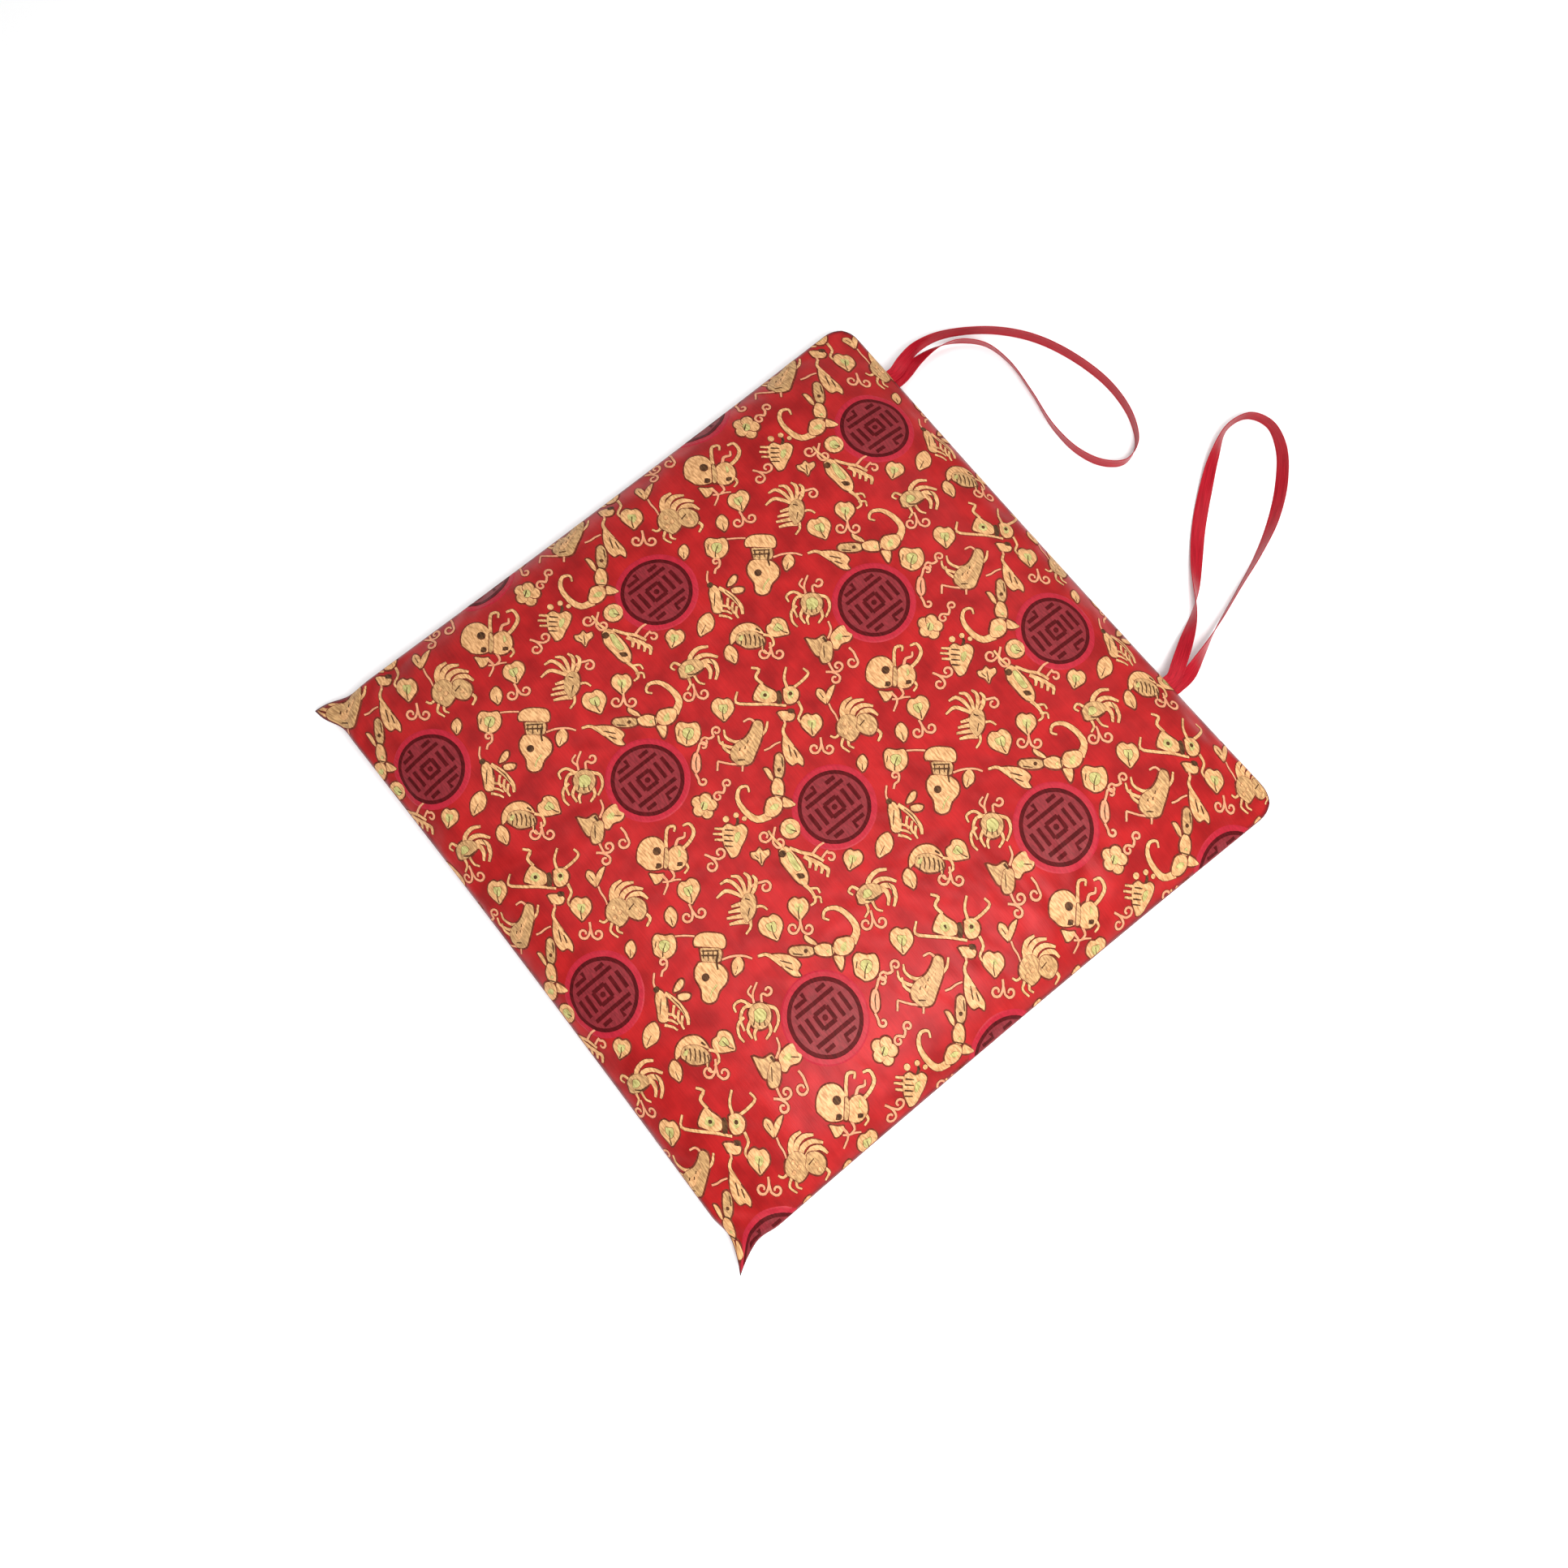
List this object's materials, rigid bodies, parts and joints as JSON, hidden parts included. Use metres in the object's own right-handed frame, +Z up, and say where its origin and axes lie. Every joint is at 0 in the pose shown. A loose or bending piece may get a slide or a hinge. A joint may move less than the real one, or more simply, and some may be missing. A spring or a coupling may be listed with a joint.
{
  "type": "square brocade chair cushion with ribbon tie loops",
  "caption": "Flat square chair pad in red silk-look brocade, knife-edged and softly crowned, with narrow ribbon tie loops sewn into its back seam",
  "frame": {"origin": "middle of the cushion's own box in plan, on the surface it lies on", "axes": "+Z is up, out of the crowned face; +Y points to the back edge, where the tie loops are sewn in; +X is to the right seen from the front"},
  "size_m": [0.417, 0.5742, 0.036],
  "materials": {
    "brocade_cover": "red satin-weave ground with gold woven figures and dark maroon roundels, silky sheen",
    "ribbon_satin": "narrow red satin ribbon with woven edges, silky sheen"
  },
  "bodies": {
    "root": {"cushion": "brocade_cover", "tie_loop_left": "ribbon_satin", "tie_loop_right": "ribbon_satin"}
  },
  "joints": []
}
